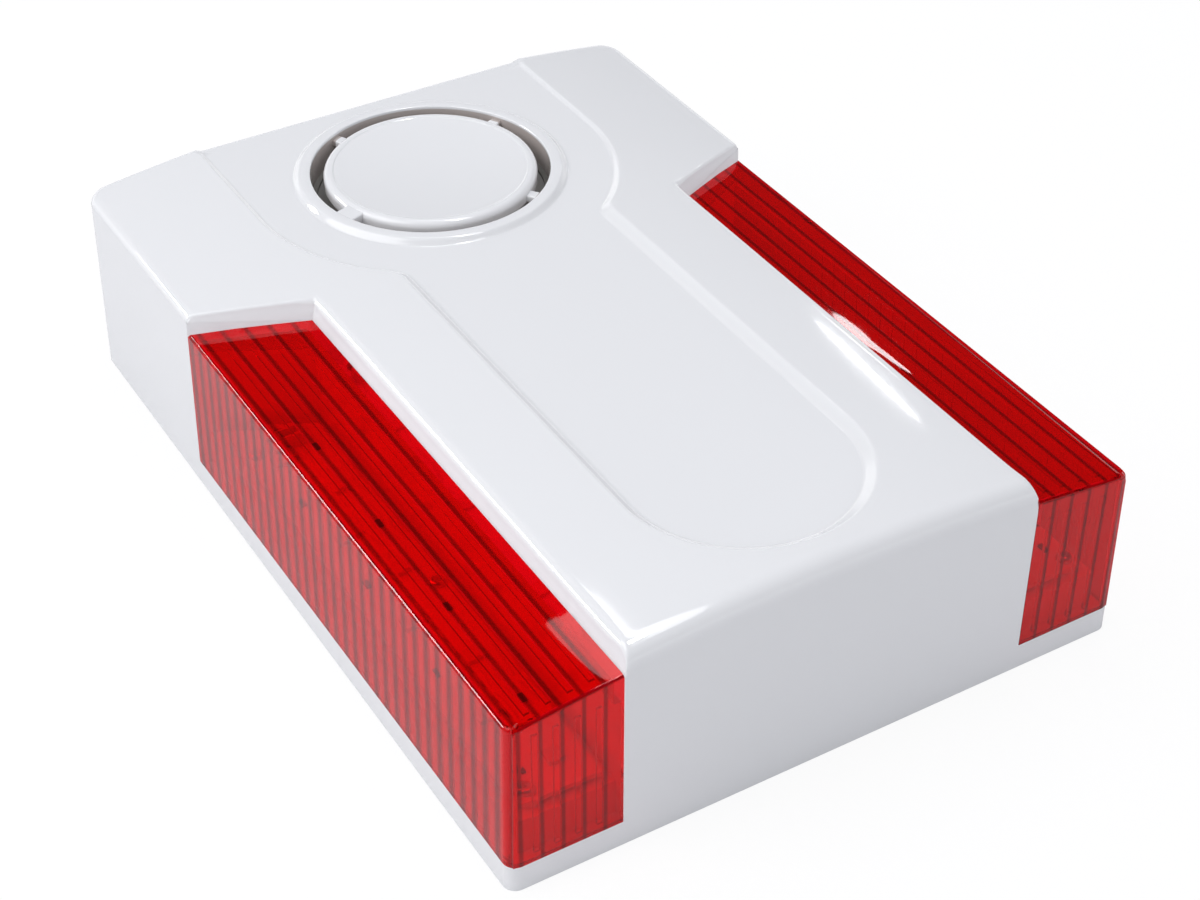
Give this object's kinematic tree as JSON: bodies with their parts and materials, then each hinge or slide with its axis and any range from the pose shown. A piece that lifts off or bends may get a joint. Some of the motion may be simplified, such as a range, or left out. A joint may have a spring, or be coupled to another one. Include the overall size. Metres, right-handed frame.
{
  "type": "outdoor alarm siren",
  "caption": "Wall-mounted outdoor alarm siren: white arched cover with a round sounder opening, red ribbed flasher lenses down both sides, and a backup battery inside.",
  "frame": {"origin": "centre of the back face, which lies against the wall", "axes": "+X across, +Y along the length towards the sounder end, +Z out of the wall through the front"},
  "size_m": [0.208, 0.29, 0.0729],
  "materials": {
    "cover_white": "gloss white weatherproof moulding",
    "lens_red": "clear red polycarbonate, polished outside, ribbed inside",
    "base_white": "fine-textured off-white moulding",
    "grommet_rubber": "black rubber",
    "gasket_foam": "closed-cell grey foam",
    "horn_grey": "light grey moulding",
    "capsule_black": "black moulding",
    "zinc_screw": "zinc-plated steel",
    "board_green": "green solder resist on glass-epoxy board",
    "board_white": "white solder resist on glass-epoxy board",
    "lamp_clear": "white package with a clear window",
    "part_black": "black moulded package",
    "plug_white": "natural nylon",
    "capacitor_sleeve": "shrunk sleeve with bare top",
    "ferrite": "sintered ferrite",
    "copper_wire": "enamelled copper winding",
    "relay_case": "blue moulded case",
    "terminal_green": "green moulding",
    "battery_case": "dark grey moulded case",
    "tab_steel": "tinned steel",
    "strap_steel": "galvanised strip",
    "plunger_white": "natural acetal",
    "spring_steel": "bright spring wire"
  },
  "bodies": {
    "siren": {"back_plate": "base_white", "battery": "battery_case", "battery_strap": "strap_steel", "battery_terminals": "tab_steel", "board_capacitors": "capacitor_sleeve", "board_chips": "part_black", "board_screws": "zinc_screw", "cable_grommet": "grommet_rubber", "cover_screws": "zinc_screw", "driver_coil_frame": "ferrite", "driver_coil_winding": "copper_wire", "front_cover": "cover_white", "led_board_left": "board_white", "led_board_right": "board_white", "led_board_screws_left": "zinc_screw", "led_board_screws_right": "zinc_screw", "led_lamps_left": "lamp_clear", "led_lamps_right": "lamp_clear", "led_plug_left": "plug_white", "led_plug_right": "plug_white", "led_resistors_left": "part_black", "led_resistors_right": "part_black", "lens_left": "lens_red", "lens_right": "lens_red", "main_board": "board_green", "relay": "relay_case", "sounder_capsule": "capsule_black", "sounder_gasket": "gasket_foam", "sounder_horn": "horn_grey", "sounder_screws": "zinc_screw", "strap_screws": "zinc_screw", "tamper_spring": "spring_steel", "tamper_switch": "part_black", "terminal_block": "terminal_green", "terminal_screws": "zinc_screw"},
    "tamper": {"tamper_plunger": "plunger_white"}
  },
  "joints": [
    {"name": "tamper_travel", "type": "slide", "parent": "siren", "child": "tamper", "axis": [0, 0, -1], "range_m": [0, 0.0025], "stiffness_N_per_m": 60, "springref_m": 0.006, "deforming": ["tamper_spring"]}
  ]
}
